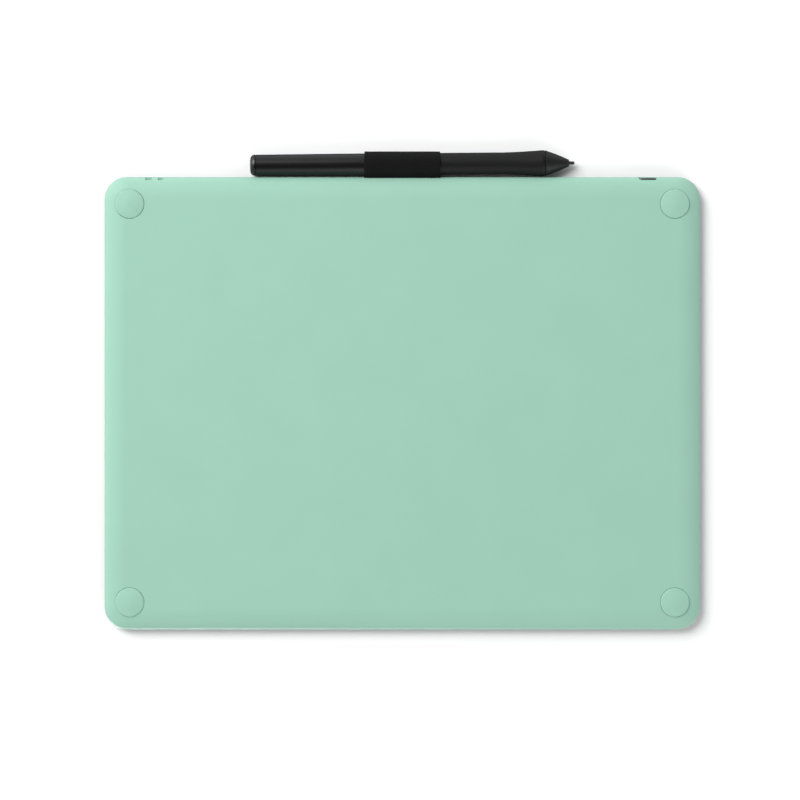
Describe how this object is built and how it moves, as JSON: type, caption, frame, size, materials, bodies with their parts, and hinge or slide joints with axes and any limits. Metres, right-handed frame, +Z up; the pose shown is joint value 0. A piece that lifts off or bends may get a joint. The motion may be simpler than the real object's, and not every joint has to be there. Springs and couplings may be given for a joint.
{
  "type": "pen drawing tablet",
  "caption": "Thin pen drawing tablet with a matt drawing face, programmable keys, rubber feet and a pressure pen held in a cloth loop at its back edge.",
  "frame": {"origin": "under the middle of the whole object, pen and loop included, on the plane that the feet stand on", "axes": "+X along the long back edge towards the pen's tail, +Y towards the back edge with the pen, +Z up out of the drawing face"},
  "size_m": [0.264, 0.2124, 0.0119],
  "materials": {
    "mint_plastic": "fine matt texture, pale mint",
    "mint_rubber": "matt, pale mint",
    "black_plastic": "fine satin texture",
    "drawing_film": "paper-like matt film",
    "key_plastic": "satin",
    "clear_plastic": "clear, polished",
    "black_cloth": "ribbed elastic weave",
    "black_rubber": "matt soft touch",
    "gloss_black": "polished",
    "nib_plastic": "satin",
    "circuit_board": "green solder mask",
    "chip_plastic": "moulded, matt",
    "steel": "bright stamped sheet",
    "copper": "wound enamelled wire",
    "ferrite": "dull sintered",
    "battery_foil": "crinkled foil pouch",
    "lead_cover": "soft insulation",
    "ribbon_film": "amber film"
  },
  "bodies": {
    "tablet": {"bottom_cover": "mint_plastic", "front_left_foot": "mint_rubber", "front_right_foot": "mint_rubber", "back_left_foot": "mint_rubber", "back_right_foot": "mint_rubber", "front_panel": "black_plastic", "loop_clamp_bar": "black_plastic", "drawing_sheet": "drawing_film", "light_guide": "clear_plastic", "pen_loop": "black_cloth", "sensor_board": "circuit_board", "main_board": "circuit_board", "controller_chip": "chip_plastic", "battery_connector": "chip_plastic", "ribbon_connector": "chip_plastic", "usb_tongue": "chip_plastic", "shield_plate": "steel", "wireless_module": "steel", "usb_socket": "steel", "front_left_screw": "steel", "front_right_screw": "steel", "back_left_screw": "steel", "back_right_screw": "steel", "key_switch_1": "steel", "key_switch_2": "steel", "key_switch_3": "steel", "key_switch_4": "steel", "power_switch": "steel", "battery": "battery_foil", "battery_lead": "lead_cover", "sensor_ribbon": "ribbon_film"},
    "pen": {"pen_barrel": "black_plastic", "pen_grip": "black_rubber", "pen_nose": "black_plastic", "pen_carrier": "chip_plastic", "pen_circuit_board": "circuit_board", "pressure_sensor": "steel", "ferrite_core": "ferrite", "pen_coil": "copper", "rear_switch_contact": "steel", "front_switch_contact": "steel", "side_switch_pin": "steel", "spare_nib_holder": "chip_plastic", "spare_nib_1": "nib_plastic", "spare_nib_2": "nib_plastic", "spare_nib_3": "nib_plastic"},
    "side_switch": {"side_switch": "key_plastic"},
    "nib_holder": {"nib_holder": "steel"},
    "nib": {"pen_nib": "nib_plastic"},
    "tail_cap": {"pen_tail_cap": "gloss_black"},
    "key_1": {"key_1": "key_plastic"},
    "key_2": {"key_2": "key_plastic"},
    "key_3": {"key_3": "key_plastic"},
    "key_4": {"key_4": "key_plastic"},
    "power_button": {"power_button": "key_plastic"}
  },
  "joints": [
    {"name": "pen_out_of_loop", "type": "slide", "parent": "tablet", "child": "pen", "axis": [-1, 0.0073, 0], "range_m": [0, 0.088]},
    {"name": "side_switch_rock", "type": "hinge", "parent": "pen", "child": "side_switch", "pos_m": [-0.0327, 0.10024, 0.0085], "axis": [0.0073, 1, 0], "range_deg": [-3.5, 3.5], "stiffness_Nm_per_rad": 0.02},
    {"name": "nib_press", "type": "slide", "parent": "pen", "child": "nib_holder", "axis": [1, -0.0073, 0], "range_m": [0, 0.0004], "stiffness_N_per_m": 500},
    {"name": "nib_pull_out", "type": "slide", "parent": "nib_holder", "child": "nib", "axis": [-1, 0.0073, 0], "range_m": [0, 0.028]},
    {"name": "tail_cap_pull_off", "type": "slide", "parent": "pen", "child": "tail_cap", "axis": [1, -0.0073, 0], "range_m": [0, 0.01]},
    {"name": "key_1_press", "type": "slide", "parent": "tablet", "child": "key_1", "axis": [0, 0, -1], "range_m": [0, 0.0006], "stiffness_N_per_m": 600},
    {"name": "key_2_press", "type": "slide", "parent": "tablet", "child": "key_2", "axis": [0, 0, -1], "range_m": [0, 0.0006], "stiffness_N_per_m": 600},
    {"name": "key_3_press", "type": "slide", "parent": "tablet", "child": "key_3", "axis": [0, 0, -1], "range_m": [0, 0.0006], "stiffness_N_per_m": 600},
    {"name": "key_4_press", "type": "slide", "parent": "tablet", "child": "key_4", "axis": [0, 0, -1], "range_m": [0, 0.0006], "stiffness_N_per_m": 600},
    {"name": "power_button_press", "type": "slide", "parent": "tablet", "child": "power_button", "axis": [0, 0, -1], "range_m": [0, 0.0005], "stiffness_N_per_m": 600}
  ]
}
